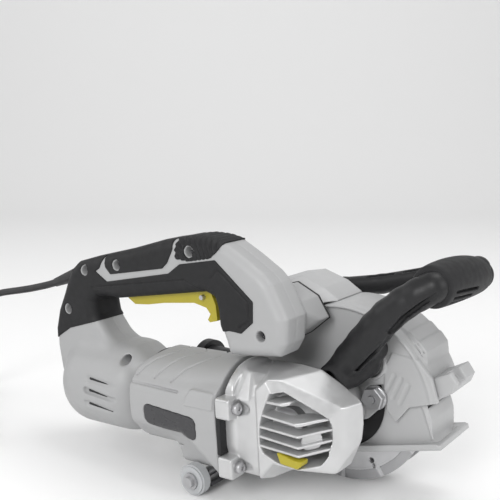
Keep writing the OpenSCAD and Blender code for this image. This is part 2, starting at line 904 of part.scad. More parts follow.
// The end of the lead, from the coil down to the plug
module cord_tail() {
    color("black") translate([origin_x, origin_y, 0]) tube_along(tail_route, cord_r, 8);
}

module cord_coil() {
    color("black") translate([origin_x + coil_centre[0], origin_y + coil_centre[1], 0]) rotate_extrude()
        translate([coil_r - 1.5 * cord_d, 0]) square([3 * cord_d, 4 * cord_d]);
}

// Two-pin moulded plug lying beside the coil
module mains_plug() {
    color("black") translate([origin_x + tail_end[0], origin_y + tail_end[1], tail_end[2]]) {
        rotate([0, 90, 0]) cylinder(r1 = 5, r2 = 7, h = 20);
        translate([20, -17.5, -10]) cube([34, 35, 20]);
    }
}

module plug_pins() {
    color("silver") translate([origin_x + tail_end[0], origin_y + tail_end[1], tail_end[2]])
        for (s = [-9.5, 9.5]) translate([54, s, 0]) rotate([0, 90, 0]) cylinder(r = 2.4, h = 19);
}

spindle();
drive_gear();
inner_flange();
disc_near();
spacer_sleeve();
disc_far();
clamp_nut();
armature_shaft();
armature_core();
commutator();
cooling_fan();
pinion();
stator();
brush_holders();
carbon_brushes();
motor_bearings();
spindle_bearings();
motor_housing();
label_plate();
rear_housing_near();
rear_housing_far();
grip_rubber_near();
grip_rubber_far();
thumb_pad();
leg_pads();
housing_screws();
trigger();
trigger_pin();
trigger_spring();
switch_module();
gear_head();
gear_head_cover();
flange_screws();
spindle_lock_button();
lock_button_spring();
upper_guard_near();
upper_guard_far();
guard_hood();
dust_port();
front_grip();
front_arm_near();
front_arm_far();
front_handle_bolts();
lower_guard();
base_plate();
pivot_bolts();
plunge_spring();
depth_lock_bolt();
depth_lock_nut();
rear_axle();
axle_bracket();
roller_near();
roller_far();
roller_screws();
cord_sleeve();
mains_cord();
cord_coil();
cord_tail();
mains_plug();
plug_pins();
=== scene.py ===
"""Wall chaser: the visual model. Blender works in metres, and shapes are written in millimetres in the frames
below. LEVEL and UNIT start where the spindle axis meets the near disc, and UNIT is tilted with the motor unit.
BASE starts at the plunge pivot and is tilted with the base unit. FLOOR, for the lead, starts under the spindle.
Each frame is a matrix that takes a point to metres."""
import json
import math
import bpy
import bmesh
import numpy as np
from mathutils import Matrix, Vector


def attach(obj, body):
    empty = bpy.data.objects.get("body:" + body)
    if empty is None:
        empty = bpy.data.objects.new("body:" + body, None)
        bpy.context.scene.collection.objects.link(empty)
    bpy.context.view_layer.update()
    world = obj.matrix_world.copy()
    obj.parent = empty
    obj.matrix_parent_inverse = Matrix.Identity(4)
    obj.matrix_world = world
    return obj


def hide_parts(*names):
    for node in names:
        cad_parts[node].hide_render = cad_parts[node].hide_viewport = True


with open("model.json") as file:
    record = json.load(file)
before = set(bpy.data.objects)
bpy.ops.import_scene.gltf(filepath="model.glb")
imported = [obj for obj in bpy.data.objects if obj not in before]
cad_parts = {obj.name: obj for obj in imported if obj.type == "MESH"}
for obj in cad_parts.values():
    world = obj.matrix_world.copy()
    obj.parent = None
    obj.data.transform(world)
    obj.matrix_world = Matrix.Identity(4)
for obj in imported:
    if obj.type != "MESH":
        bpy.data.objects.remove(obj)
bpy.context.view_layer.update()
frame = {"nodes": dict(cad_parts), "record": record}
MM = 0.001

# Where the spindle axis meets the near disc, in millimetres
SPINDLE = np.array([90.8, 21.25, 75.0])
UNIT_TILT = math.radians(3.5)
BASE_TILT = math.radians(15.7)
PIVOT = (-88.0, -20.0)
STUDIO_CENTRE = (0, 0, 0.1)


def at_spindle(x, y, z):
    """A point given from the spindle, in millimetres, as a vector in metres."""
    return Vector((x + SPINDLE[0], y + SPINDLE[1], z + SPINDLE[2])) * MM


def tilt_matrix(tilt, pivot=(0.0, 0.0)):
    """A frame tilted nose-up, whose origin is at pivot, an x and z from the spindle."""
    c, s = math.cos(tilt), math.sin(tilt)
    turn = Matrix(((c, 0, -s, pivot[0]), (0, 1, 0, 0), (s, 0, c, pivot[1]), (0, 0, 0, 1)))
    return Matrix.Translation(SPINDLE * MM) @ Matrix.Scale(MM, 4) @ turn


LEVEL = tilt_matrix(0.0)
UNIT = tilt_matrix(UNIT_TILT)
BASE = tilt_matrix(BASE_TILT, PIVOT)

# ---------------------------------------------------------------- camera, floor and light

camera_data = bpy.data.cameras.new("camera")
camera = bpy.data.objects.new("camera", camera_data)
bpy.context.collection.objects.link(camera)
camera_data.sensor_width = 36.0
camera_data.lens = 58.19
yaw, pitch = math.radians(36.648), math.radians(10.273)
camera.location = at_spindle(325.59, -570.83, 241.14)
camera.rotation_euler = (math.pi / 2 - pitch, 0, yaw)
camera_data.clip_start, camera_data.clip_end = 0.01, 20
bpy.context.scene.camera = camera


def stage_floor():
    """A plain pale floor that curves up behind the object."""
    bm = bmesh.new()
    near, back, bend, top = -2.2, 1.6, 0.8, 3.0
    profile = [(near, 0.0), (back, 0.0)]
    for angle in np.linspace(0.1, math.pi / 2, 12):
        profile.append((back + bend * math.sin(angle), bend - bend * math.cos(angle)))
    profile.append((back + bend, top))
    turn = Matrix.Rotation(yaw, 3, "Z")
    rows = [[bm.verts.new(turn @ Vector((x, y, z))) for x in (-3.5, 3.5)] for y, z in profile]
    for a, b in zip(rows, rows[1:]):
        bm.faces.new((a[0], a[1], b[1], b[0])).smooth = True
    mesh = bpy.data.meshes.new("floor")
    bm.to_mesh(mesh)
    floor = bpy.data.objects.new("floor", mesh)
    bpy.context.collection.objects.link(floor)
    paint = bpy.data.materials.new("floor_white")
    paint.use_nodes = True
    shader = paint.node_tree.nodes["Principled BSDF"]
    shader.inputs["Base Color"].default_value = (0.92, 0.92, 0.92, 1)
    shader.inputs["Roughness"].default_value = 0.7
    mesh.materials.append(paint)


def soft_light(name, place, size, power):
    data = bpy.data.lights.new(name, "AREA")
    data.shape = "DISK"
    data.size = size
    data.energy = power
    lamp = bpy.data.objects.new(name, data)
    bpy.context.collection.objects.link(lamp)
    lamp.location = place
    lamp.rotation_euler = (Vector(STUDIO_CENTRE) - Vector(place)).to_track_quat("-Z", "Y").to_euler()


def studio():
    stage_floor()
    world = bpy.data.worlds.new("studio")
    bpy.context.scene.world = world
    world.use_nodes = True
    sky = world.node_tree.nodes["Background"]
    sky.inputs["Color"].default_value = (1, 1, 1, 1)
    sky.inputs["Strength"].default_value = 0.54
    soft_light("key", (0.35, -1.6, 1.0), 0.8, 16)
    soft_light("fill", (-1.3, -0.8, 0.9), 1.2, 5)
    soft_light("top", (0.3, 0.5, 1.8), 1.2, 10)
    soft_light("side", (1.6, 0.2, 0.8), 1.0, 8)
    bpy.context.scene.view_settings.view_transform = "Standard"


studio()

# ---------------------------------------------------------------- materials


class Paint:
    """A material under construction: shorthand for its nodes."""

    def __init__(self, name):
        self.material = bpy.data.materials.new(name)
        self.material.use_nodes = True
        self.tree = self.material.node_tree
        self.shader = self.tree.nodes["Principled BSDF"]
        self.coords = self.tree.nodes.new("ShaderNodeTexCoord").outputs["Object"]

    def set(self, **values):
        for name, value in values.items():
            self.shader.inputs[name.replace("_", " ")].default_value = value

    def noise(self, scale, detail):
        noise = self.tree.nodes.new("ShaderNodeTexNoise")
        noise.inputs["Scale"].default_value = scale
        noise.inputs["Detail"].default_value = detail
        self.tree.links.new(self.coords, noise.inputs["Vector"])
        return noise.outputs["Fac"]

    def cells(self, scale):
        """The fine dimples of a moulded surface."""
        cells = self.tree.nodes.new("ShaderNodeTexVoronoi")
        cells.inputs["Scale"].default_value = scale
        self.tree.links.new(self.coords, cells.inputs["Vector"])
        return cells.outputs["Distance"]

    def ramp(self, value, *ends):
        """Turns a value into a blend of two colours or two numbers."""
        ramp = self.tree.nodes.new("ShaderNodeValToRGB")
        for stop, position, end in zip(ramp.color_ramp.elements, (0.3, 0.7), ends):
            stop.position = position
            stop.color = (*end, 1) if hasattr(end, "__len__") else (end, end, end, 1)
        self.tree.links.new(value, ramp.inputs["Fac"])
        return ramp.outputs["Color"]

    def link(self, value, socket):
        self.tree.links.new(value, self.shader.inputs[socket])

    def bump(self, *layers):
        """Each layer is (height, strength, distance in metres)."""
        normal = None
        for height, strength, distance in layers:
            bump = self.tree.nodes.new("ShaderNodeBump")
            bump.inputs["Strength"].default_value = strength
            bump.inputs["Distance"].default_value = distance
            self.tree.links.new(height, bump.inputs["Height"])
            if normal is not None:
                self.tree.links.new(normal, bump.inputs["Normal"])
            normal = bump.outputs["Normal"]
        self.tree.links.new(normal, self.shader.inputs["Normal"])


def shade(colour, factor):
    return tuple(min(1.0, c * factor) for c in colour)


def plastic(name, colour, rough=0.5, grain=1400.0, relief=0.00004, strength=0.5, specular=0.5, mottle=0.05):
    """A moulded surface with grain dimples to the metre, relief metres deep."""
    p = Paint(name)
    p.link(p.ramp(p.noise(35, 4), shade(colour, 1 - mottle), shade(colour, 1 + mottle)), "Base Color")
    p.link(p.ramp(p.noise(160, 3), rough - 0.06, rough + 0.06), "Roughness")
    p.set(Specular_IOR_Level=specular)
    p.bump((p.cells(grain), strength, relief), (p.noise(260, 2), 0.15, 0.0001))
    return p.material


def metal(name, colour, rough=0.35, metallic=1.0):
    p = Paint(name)
    p.link(p.ramp(p.noise(60, 5), shade(colour, 0.94), shade(colour, 1.06)), "Base Color")
    p.link(p.ramp(p.noise(240, 4), rough - 0.08, rough + 0.08), "Roughness")
    p.set(Metallic=metallic)
    p.bump((p.noise(900.0, 3), 0.3, 0.00006))
    return p.material


MATERIALS = {
    "grey_plastic": plastic("grey_plastic", (0.36, 0.362, 0.365), 0.46, mottle=0.015, relief=0.00003),
    "guard_silver": plastic("guard_silver", (0.42, 0.422, 0.425), 0.42, grain=700, mottle=0.015,
                            relief=0.00005),
    "cast_aluminium": metal("cast_aluminium", (0.56, 0.562, 0.565), 0.38, metallic=0.55),
    "rubber": plastic("rubber", (0.014, 0.014, 0.015), 0.6, grain=1800, strength=0.8, specular=0.3),
    "black_plastic": plastic("black_plastic", (0.012, 0.012, 0.013), 0.45, grain=1300, specular=0.35),
    "cord_black": plastic("cord_black", (0.016, 0.016, 0.017), 0.5, grain=900, strength=0.3),
    "yellow_plastic": plastic("yellow_plastic", (0.38, 0.32, 0.02), 0.38),
    "label": plastic("label", (0.035, 0.035, 0.038), 0.3, grain=900, strength=0.2),
    "roller_plastic": plastic("roller_plastic", (0.42, 0.43, 0.44), 0.4),
    "steel": metal("steel", (0.46, 0.46, 0.47), 0.42, metallic=0.9),
    "dark_steel": metal("dark_steel", (0.09, 0.09, 0.095), 0.42),
    "disc_steel": metal("disc_steel", (0.62, 0.62, 0.63), 0.38, metallic=0.6),
    "copper": metal("copper", (0.75, 0.38, 0.2), 0.35),
    "brass": metal("brass", (0.8, 0.6, 0.28), 0.3),
    "carbon": plastic("carbon", (0.03, 0.03, 0.03), 0.6),
}

slot_of = {part["node"]: part["material_slot"] for part in frame["record"]["subparts"]}
for node_name, node in frame["nodes"].items():
    node.data.materials.clear()
    node.data.materials.append(MATERIALS[slot_of[node_name]])

# ---------------------------------------------------------------- mains lead

CORD_R = 3.5
CORD_ROUTE = [
    (-286, -66, 144.4), (-298, -66, 140.5), (-311, -66, 136.8), (-326, -66, 132.8),
    (-342, -66, 129), (-358, -66, 125.4), (-374, -66, 121.5), (-389, -66, 116),
    (-402, -66, 107.5), (-411, -66, 96), (-416, -66, 82), (-418, -66, 67),
    (-419.5, -66, 52), (-423, -66, 37.5), (-430, -66, 24), (-441, -66, 13.8),
    (-452, -66.5, 6.6), (-463, -68.4, 4),
]
TAIL_ROUTE = [
    (-450, -156, 24.5), (-437, -156, 24.5), (-424, -156, 24.5), (-412, -156, 23.6),
    (-402, -156, 20.4), (-392, -156, 15.6), (-382, -156, 11.6), (-372, -156, 10),
]
COIL_CENTRE = (-450, -115)
COIL_COLUMNS = [48, 41, 34, 34, 41, 48, 48, 41, 34, 34, 41]
COIL_LAYERS = [0, 0, 0, 1, 1, 1, 2, 2, 2, 3, 3]
LAST_TURN = len(COIL_COLUMNS) - 1


def coil_points():
    """Turns of the coil, each at one radius and height, with a change-over in its last part."""
    change_share = 0.4
    first = math.atan2(CORD_ROUTE[-1][1] - COIL_CENTRE[1], CORD_ROUTE[-1][0] - COIL_CENTRE[0])
    last = math.radians(270) + LAST_TURN * 2 * math.pi
    points = []
    for angle in np.arange(first + math.radians(12), last, math.radians(10)):
        turns = (angle - first) / (2 * math.pi)
        turn = int(turns)
        change = max(0.0, (turns - turn - (1 - change_share)) / change_share)
        change = change * change * (3 - 2 * change)
        after = min(turn + 1, LAST_TURN)
        r = COIL_COLUMNS[turn] + change * (COIL_COLUMNS[after] - COIL_COLUMNS[turn])
        layer = COIL_LAYERS[turn] + change * (COIL_LAYERS[after] - COIL_LAYERS[turn])
        points.append((COIL_CENTRE[0] + r * math.cos(angle), COIL_CENTRE[1] + r * math.sin(angle),
                       CORD_R + 2 * CORD_R * layer))
    return points


def smooth_path(points, step=4):
    """The same path through the points, with rounded stretches between them."""
    p = np.array([points[0], *points, points[-1]], float)
    out = []
    for a, b, c, d in zip(p, p[1:], p[2:], p[3:]):
        for t in np.arange(step) / step:
            out.append(0.5 * (2 * b + (c - a) * t + (2 * a - 5 * b + 4 * c - d) * t * t
                              + (3 * b - a - 3 * c + d) * t ** 3))
    out.append(p[-1])
    return np.array(out)


def tube(name, points, radius, sides, material, frame_matrix):
    """A curve of one open spline through the points, in millimetres."""
    data = bpy.data.curves.new(name, "CURVE")
    data.dimensions = "3D"
    data.bevel_depth = radius * MM
    data.bevel_resolution = sides // 4 - 1
    data.use_fill_caps = True
    spline = data.splines.new("POLY")
    spline.points.add(len(points) - 1)
    for point, place in zip(spline.points, points):
        point.co = (*(frame_matrix @ Vector(place)), 1)
    spline.use_smooth = True
    obj = bpy.data.objects.new(name, data)
    bpy.context.collection.objects.link(obj)
    data.materials.append(MATERIALS[material])
    return obj


FLOOR = Matrix.Translation((SPINDLE[0] * MM, SPINDLE[1] * MM, 0)) @ Matrix.Scale(MM, 4)
lead_path = smooth_path([*CORD_ROUTE, *coil_points(), *TAIL_ROUTE])
lead = tube("mains_lead", lead_path, CORD_R, 20, "cord_black", FLOOR)
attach(lead, "motor_unit")
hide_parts("mains_cord", "cord_coil", "cord_tail")

# ---------------------------------------------------------------- solids from distance fields
# A field gives a signed distance in millimetres, negative inside, on arrays of x, y and z. Its surface
# becomes a mesh, so that edges come out rounded and one shape can run smoothly into another.


def polygon_field(x, z, points):
    """Signed distance from a polygon in the x-z plane."""
    p = np.array(points, float)
    shape = np.broadcast(x, z).shape
    best = np.full(shape, 1e9)
    inside = np.zeros(shape, bool)
    for (ax, az), (bx, bz) in zip(p, np.roll(p, -1, 0)):
        ex, ez = bx - ax, bz - az
        t = np.clip(((x - ax) * ex + (z - az) * ez) / (ex * ex + ez * ez), 0, 1)
        best = np.minimum(best, (x - ax - t * ex) ** 2 + (z - az - t * ez) ** 2)
        if az != bz:
            crosses = ((az > z) != (bz > z)) & (x < ex * (z - az) / ez + ax)
            inside = inside ^ crosses
    return np.where(inside, -1, 1) * np.sqrt(best)


def line_field(x, z, points):
    """Distance from an open polyline in the x-z plane."""
    best = np.full(np.broadcast(x, z).shape, 1e9)
    for (ax, az), (bx, bz) in zip(points, points[1:]):
        ex, ez = bx - ax, bz - az
        t = np.clip(((x - ax) * ex + (z - az) * ez) / (ex * ex + ez * ez), 0, 1)
        best = np.minimum(best, (x - ax - t * ex) ** 2 + (z - az - t * ez) ** 2)
    return np.sqrt(best)


def both(a, b, r=0.0):
    """Intersection, with its edge rounded to radius r."""
    if r == 0:
        return np.maximum(a, b)
    u, v = np.maximum(a + r, 0), np.maximum(b + r, 0)
    return np.sqrt(u * u + v * v) + np.minimum(np.maximum(a, b) + r, 0) - r


def cut(a, b, r=0.0):
    """What is left of a when b is taken away."""
    return both(a, -b, r)


def join(a, b, k=0.0):
    """Union, with a fillet about k wide."""
    if k == 0:
        return np.minimum(a, b)
    h = np.maximum(k - np.abs(a - b), 0) / k
    return np.minimum(a, b) - h * h * k / 4


def span(v, low, high):
    """A slab from low to high along one coordinate."""
    return np.abs(v - (low + high) / 2) - (high - low) / 2


def rod(a, b, r):
    """An endless cylinder's field from its two cross coordinates."""
    return np.sqrt(a * a + b * b) - r


def half(x, y, z, normal, point):
    """The space behind a plane through point."""
    n = np.array(normal, float)
    n /= np.linalg.norm(n)
    return n[0] * (x - point[0]) + n[1] * (y - point[1]) + n[2] * (z - point[2])


def capsule(x, y, z, a, b, ra, rb):
    """A round bar from a to b whose radius goes from ra to rb."""
    a, b = np.array(a, float), np.array(b, float)
    e = b - a
    t = np.clip(((x - a[0]) * e[0] + (y - a[1]) * e[1] + (z - a[2]) * e[2]) / (e @ e), 0, 1)
    d = np.sqrt((x - a[0] - t * e[0]) ** 2 + (y - a[1] - t * e[1]) ** 2 + (z - a[2] - t * e[2]) ** 2)
    return d - (ra + t * (rb - ra))


CORNERS = [(i, j, k) for i in (0, 1) for j in (0, 1) for k in (0, 1)]
EDGES = [(a, b) for a in CORNERS for b in CORNERS
         if sum(b) - sum(a) == 1 and all(q >= p for p, q in zip(a, b))]


def surface(values, low, step):
    """The zero surface of a sampled field: vertices and quads, with one vertex in each cell it crosses."""
    inside = values < 0
    cells = tuple(n - 1 for n in values.shape)

    def corner(grid, c):
        return grid[c[0]:c[0] + cells[0], c[1]:c[1] + cells[1], c[2]:c[2] + cells[2]]

    count = sum(corner(inside, c).astype(np.int8) for c in CORNERS)
    active = (count > 0) & (count < 8)
    index = np.full(cells, -1, np.int64)
    where = np.argwhere(active)
    index[active] = np.arange(len(where))
    total = np.zeros((len(where), 3))
    hits = np.zeros(len(where))
    for a, b in EDGES:
        va, vb = corner(values, a)[active], corner(values, b)[active]
        crossed = (va < 0) != (vb < 0)
        t = np.where(crossed, va / np.where(crossed, va - vb, 1), 0)
        place = np.array(a) + t[:, None] * (np.array(b) - np.array(a))
        total += np.where(crossed[:, None], place, 0)
        hits += crossed
    vertices = np.array(low) + step * (where + total / hits[:, None])
    quads = []
    for axis in range(3):
        u, v = [(1, 2), (2, 0), (0, 1)][axis]
        a = np.take(inside, range(values.shape[axis] - 1), axis)
        b = np.take(inside, range(1, values.shape[axis]), axis)
        edges = np.argwhere(a != b)
        for side in (u, v):
            edges = edges[(edges[:, side] > 0) & (edges[:, side] < cells[side])]
        outward = a[tuple(edges.T)]
        ring = []
        for du, dv in ((0, 0), (-1, 0), (-1, -1), (0, -1)):
            cell = edges.copy()
            cell[:, u] += du
            cell[:, v] += dv
            ring.append(index[tuple(cell.T)])
        ring = np.stack(ring, 1)
        ring[~outward] = ring[~outward, ::-1]
        quads.append(ring)
    return vertices, np.concatenate(quads)


def solid(name, low, high, step, field, material, matrix, body, stands_for=(), keep=0.4):
    """A piece whose surface is where field(x, y, z) is zero, thinned to the share keep of its faces."""
    axes = [np.arange(a, b + step, step) for a, b in zip(low, high)]
    x, y, z = np.meshgrid(*axes, indexing="ij", sparse=True)
    values = np.broadcast_to(field(x, y, z), [len(a) for a in axes])
    vertices, quads = surface(np.ascontiguousarray(values, dtype=float), low, step)
    mesh = bpy.data.meshes.new(name)
    turn = np.array(matrix)
    mesh.from_pydata(vertices @ turn[:3, :3].T + turn[:3, 3], [], quads.tolist())
    mesh.polygons.foreach_set("use_smooth", np.ones(len(quads), bool))
    mesh.materials.append(MATERIALS[material])
    obj = bpy.data.objects.new(name, mesh)
    bpy.context.collection.objects.link(obj)
    if keep < 1:
        thin = obj.modifiers.new("thin", "DECIMATE")
        thin.ratio = keep
    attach(obj, body)
    if stands_for:
        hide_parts(*stands_for)
    return obj


# ---------------------------------------------------------------- rear handle and motor

MOTOR_Y = -66.0
MOTOR_R = 41
HANDLE_HALF_W = 19.0
PAD_H = 1.1
HANDLE_OUTLINE = [
    (-13, 106), (-21, 114), (-39, 126), (-56, 136), (-70, 139.5), (-84, 140.5), (-100, 139), (-121, 136),
    (-158, 127), (-203, 118), (-228, 112), (-236, 106), (-242, 98), (-250, 82), (-259, 66), (-265, 48),
    (-266, 31), (-263, 8), (-256, -10), (-238, -20), (-150, -20), (-148, 30), (-165, 38), (-186, 38),
    (-198, 50), (-209, 64), (-211, 77), (-205, 83), (-190, 84), (-181, 83), (-78, 97), (-68, 93), (-65, 84),
    (-64, 70), (-59, 57), (-56, 46), (-8, 50), (-2, 60), (0, 80),
]
REAR_BLACK = [
    (-191, 150), (-191, 120), (-196, 109), (-201, 106), (-188, 98), (-114, 110), (-101, 118.5), (-63, 124),
    (-27, 93), (-28, 76), (-40, 66), (-52, 67), (-80, 60), (-184, 60), (-203, 60), (-242, 49.5), (-262, 38),
    (-300, 30), (-300, 150),
]
MIDDLE_PAD = [
    (-190, 150), (-190.5, 118), (-189, 110), (-183, 104), (-120, 113), (-114, 118), (-107, 130), (-110, 150),
]
THUMB_PAD = [(-103, 150), (-105, 131), (-105, 122), (-91, 120.5), (-68, 124), (-60, 130), (-49, 150)]
RUBBER_GROOVES = [[(-208, 91), (-96, 105.5), (-80, 98)],
                  [(-68, 109), (-61, 116), (-32, 92), (-32, 77), (-42, 71)]]
SCREW_PLACES = [(-217, 106), (-243, 68), (-175, 113), (-90, 129), (-22, 66), (-243, -4), (-166, 30)]

# Each cooling slot's hollow, and the black bar of painted shade set inside it, as the x and z of its two ends
VENT_HOLLOWS = [(-201, 12.5, -168, 9.5), (-203, 1.5, -169, -2.5), (-204, -11, -171, -14)]
VENT_SHADE_BARS = [(-199, 12.2, -170, 9.6), (-201, 1.2, -171, -2.3), (-202, -11.2, -173, -13.8)]


def around(y):
    """Distance from the motor's middle plane."""
    return np.abs(y - MOTOR_Y)


def screw_wells(x, y, z, radius, depth):
    """Round wells into both sides of the handle, one at each screw."""
    wells = 1e9
    for sx, sz in SCREW_PLACES:
        wells = np.minimum(wells, both(rod(x - sx, z - sz, radius), (HANDLE_HALF_W - depth) - around(y)))
    return wells


def handle_shell(x, y, z):
    """The rear handle as one rounded loop that widens into the barrel round the motor's rear end."""
    loop = both(polygon_field(x, z, HANDLE_OUTLINE), around(y) - HANDLE_HALF_W, 9)
    barrel = both(rod(y - MOTOR_Y, z, MOTOR_R), span(x, -252, -147.4), 30)
    return join(loop, barrel, 9)


def seam_x(z):
    """Where the rear housing ends: it reaches further forward over the top of the motor."""
    return -147.4 + 16 * np.clip((z - 22) / 19, 0, 1) ** 2


def vent_bars(x, y, z, places, reach, ra, rb):
    """Round bars at the cooling slots of both sides, reach from the middle plane."""
    bars = 1e9
    for x0, z0, x1, z1 in places:
        for y0 in (MOTOR_Y - reach, MOTOR_Y + reach):
            bars = np.minimum(bars, capsule(x, y, z, (x0, y0, z0), (x1, y0, z1), ra, rb))
    return bars


def housing_field(x, y, z):
    """The handle shell with its seam, screw wells, trigger slot, hollows round the vents and side step."""
    d = handle_shell(x, y, z)
    d = np.maximum(d, np.where(z < 44, x - seam_x(z), -1e9))
    d = cut(d, np.maximum(around(y) - 0.35, -handle_shell(x, y, z) - 0.8))
    d = cut(d, screw_wells(x, y, z, 4.2, 8), 0.8)
    d = cut(d, both(span(x, -183, -72), np.maximum(span(z, 70, 97), around(y) - 9)))
    d = cut(d, vent_bars(x, y, z, VENT_HOLLOWS, 40, 2.9, 2.0), 1.5)
    side_step = both(span(x, -196, -100), both(span(z - 0.03 * (-x - 150), 18.5, 20.5), 36.2 - around(y)))
    return cut(d, side_step, 0.7)


# Black bars set deep in the vent hollows: painted shade standing in for the shadow inside the slots.
def vent_shade_field(x, y, z):
    return vent_bars(x, y, z, VENT_SHADE_BARS, 36.6, 1.5, 1.3)


def pad_field(x, y, z, region, height=PAD_H, edge=0.5):
    """Rubber that stands height above the handle shell inside region."""
    d = both(handle_shell(x, y, z) - height, polygon_field(x, z, region) + 0.4, edge)
    return cut(d, screw_wells(x, y, z, 5.0, 8), edge)


def rear_rubber_field(x, y, z):
    d = pad_field(x, y, z, REAR_BLACK)
    for route, half_width in zip(RUBBER_GROOVES, (0.5, 0.6)):
        groove = np.maximum(line_field(x, z, route) - half_width, 16 - around(y))
        d = cut(d, np.maximum(groove, 0.1 - handle_shell(x, y, z)), 0.2)
    return d


def thumb_field(x, y, z):
    """The thumb pad, with ribs on arcs round a point below its rear end."""
    rib_pitch, rib_depth = 4.3, 1.5
    d = pad_field(x, y, z, THUMB_PAD, 1.8)
    reach = np.sqrt((x + 116) ** 2 + (z - 112) ** 2)
    wave = 0.5 + 0.5 * np.cos(reach * (2 * math.pi / rib_pitch))
    return np.maximum(d, handle_shell(x, y, z) - 0.2 - rib_depth * wave)


def handle_screw_field(x, y, z):
    heads = screw_wells(x, y, z, 3.5, 9)
    heads = both(heads, around(y) - HANDLE_HALF_W + 5.5, 1.2)
    return cut(heads, screw_wells(x, y, z, 1.5, 7))


solid("rear_housing", (-279, -108, -44), (4, -24, 143), 0.85, housing_field, "grey_plastic", UNIT,
      "motor_unit", ["rear_housing_near", "rear_housing_far"], 0.5)
solid("rear_grip_rubber", (-279, -87, 30), (-20, -45, 143), 0.8, rear_rubber_field, "rubber", UNIT,
      "motor_unit", ["grip_rubber_near", "grip_rubber_far", "leg_pads"], 0.5)
solid("middle_pad", (-194, -87, 98), (-102, -45, 143), 0.7,
      lambda x, y, z: pad_field(x, y, z, MIDDLE_PAD), "rubber", UNIT, "motor_unit", keep=0.5)
solid("ribbed_thumb_pad", (-108, -87, 120), (-40, -45, 144), 0.6, thumb_field, "rubber", UNIT,
      "motor_unit", ["thumb_pad"], 0.6)
solid("handle_screws", (-258, -82, -13), (-17, -50, 129), 0.55, handle_screw_field, "dark_steel", UNIT,
      "motor_unit", ["housing_screws"], 0.5)
# Painted shade: black bars inside the vent hollows where the slots fall into shadow.
solid("vent_slot_painted_shade", (-206, -106, -20), (-166, -26, 18), 0.8, vent_shade_field, "black_plastic", UNIT, "motor_unit")


LABEL = [(-129.5, 0.5), (-131, -3), (-131, -11), (-129, -15), (-126, -16.5), (-79, -21.5), (-76, -20),
         (-75, -17), (-74.5, -6), (-76, -3), (-79, -1.5), (-126, 2)]

# Three curved grooves over the motor: x against the angle above the side, in degrees
MOTOR_LINES = [[(-143, 34), (-138, 46), (-132, 58), (-121, 73), (-114, 86)],
               [(-123, 34), (-114, 54), (-106, 69), (-93, 88)],
               [(-104, 33), (-95, 51), (-84, 66), (-74, 83)]]
MM_PER_DEGREE = 0.7156


def facet_side(x, y, z):
    """The motor's forward shell: round at the rear, growing flat sides toward the gear head."""
    round_part = rod(y - MOTOR_Y, z, MOTOR_R)
    grow = np.clip((x + 92) / 38, 0, 1)
    box_part = both(around(y) - 40.6, np.abs(z + 12 * grow) - (20 + 16 * grow), 9)
    return join(round_part, box_part, 5)


def motor_field(x, y, z):
    """The motor's shell with its keel, raised panel, top grooves, side step, seam below and label bed."""
    d = both(facet_side(x, y, z), span(x, -146.9, -53.5), 1.2)
    d = np.maximum(d, seam_x(z) + 0.7 - x)
    keel = both(span(x, -106, -54), both(span(z, -49, -20), around(y + 5) - 22, 6), 5)
    d = join(d, keel, 10)
    panel = both(span(z, 8, 21), span(y, MOTOR_Y - 44, MOTOR_Y - 20), 2)
    raised = both(span(x, -90 + 0.5 * z, -55), panel, 2)
    d = join(d, np.maximum(raised, facet_side(x, y, z) - 1.4), 1.5)
    turn = np.degrees(np.arctan2(z, MOTOR_Y - y))
    for points in MOTOR_LINES:
        route = [(px, angle * MM_PER_DEGREE) for px, angle in points]
        for side in (turn, 180 - turn):
            groove = line_field(x, side * MM_PER_DEGREE, route) - 0.7
            d = cut(d, np.maximum(groove, -facet_side(x, y, z) - 1.1), 0.2)
    side_step = both(span(x, -150, -93), both(span(z - 0.03 * (-x - 150), 17.2, 19), 37.4 - around(y)))
    d = cut(d, side_step, 0.6)
    under = both(span(x, -147, -100), both(span(z, -33.5, -32.5), 20 - around(y)))
    d = cut(d, under, 0.4)
    label_bed = both(polygon_field(x, z, LABEL), span(y, -120, MOTOR_Y - 39.8))
    return cut(d, label_bed, 0.5)


def label_field(x, y, z):
    plate = both(polygon_field(x, z, LABEL) + 0.3, span(y, -110, -104.5))
    return both(plate, facet_side(x, y, z) - 0.1, 0.4)


solid("motor_shell", (-149, -112, -51), (-51, -20, 46), 0.8, motor_field, "grey_plastic", UNIT,
      "motor_unit", ["motor_housing"], 0.5)
solid("type_label", (-133, -109, -24), (-72, -100, 4), 0.6, label_field, "label", UNIT, "motor_unit",
      ["label_plate"], 0.5)

# ---------------------------------------------------------------- gear head

# Planes as an outward normal and a point, then outlines in x and z
FRONT_Y = -102
RIGHT_FACE = ((0.857, -0.515, 0), (20, FRONT_Y, 0))
TOP_RIGHT_FACE = ((0.639, -0.649, 0.411), (33.4, -79.7, 8.2))
FIN_FACE = ((0.671, -0.436, 0.6), (19.1, FRONT_Y, 6.8))
UNDERSIDE = ((0, -0.335, -0.942), (14, FRONT_Y, -27))
GEAR_HEAD = [(-49, -42), (-30, -47), (-12, -45), (-4, -40), (28, -40), (36, -36), (46, -15), (49, -4),
             (49, 10), (45, 18), (30, 27), (12, 36), (-6, 38), (-30, 38), (-49, 38)]
PLATE_FRONT = [(-60, -38), (-30, -40), (-14, -39), (-4, -27), (20, -27), (20, 20), (0.6, 37), (-11.7, 34.5),
               (-26, 17.5), (-60, 16)]
PLATE_PROFILE = [(-99, -34), (-99, 22), (-93, 30), (-82, 36), (-66, 37.5), (-50, 36), (-40, 30), (-33, 15),
                 (-32, -30), (-42, -44), (-86, -47.5), (-95, -44)]
RING_SLOPES = [((0.563, -0.152, 0.813), (1.9, -93, 36.1)), ((0.96, -0.28, 0), (40.5, -67.9, 0)),
               ((-0.8, -0.6, 0), (-16.5, FRONT_Y, 0)), ((-0.62, -0.35, 0.7), (-10.5, FRONT_Y, 34))]
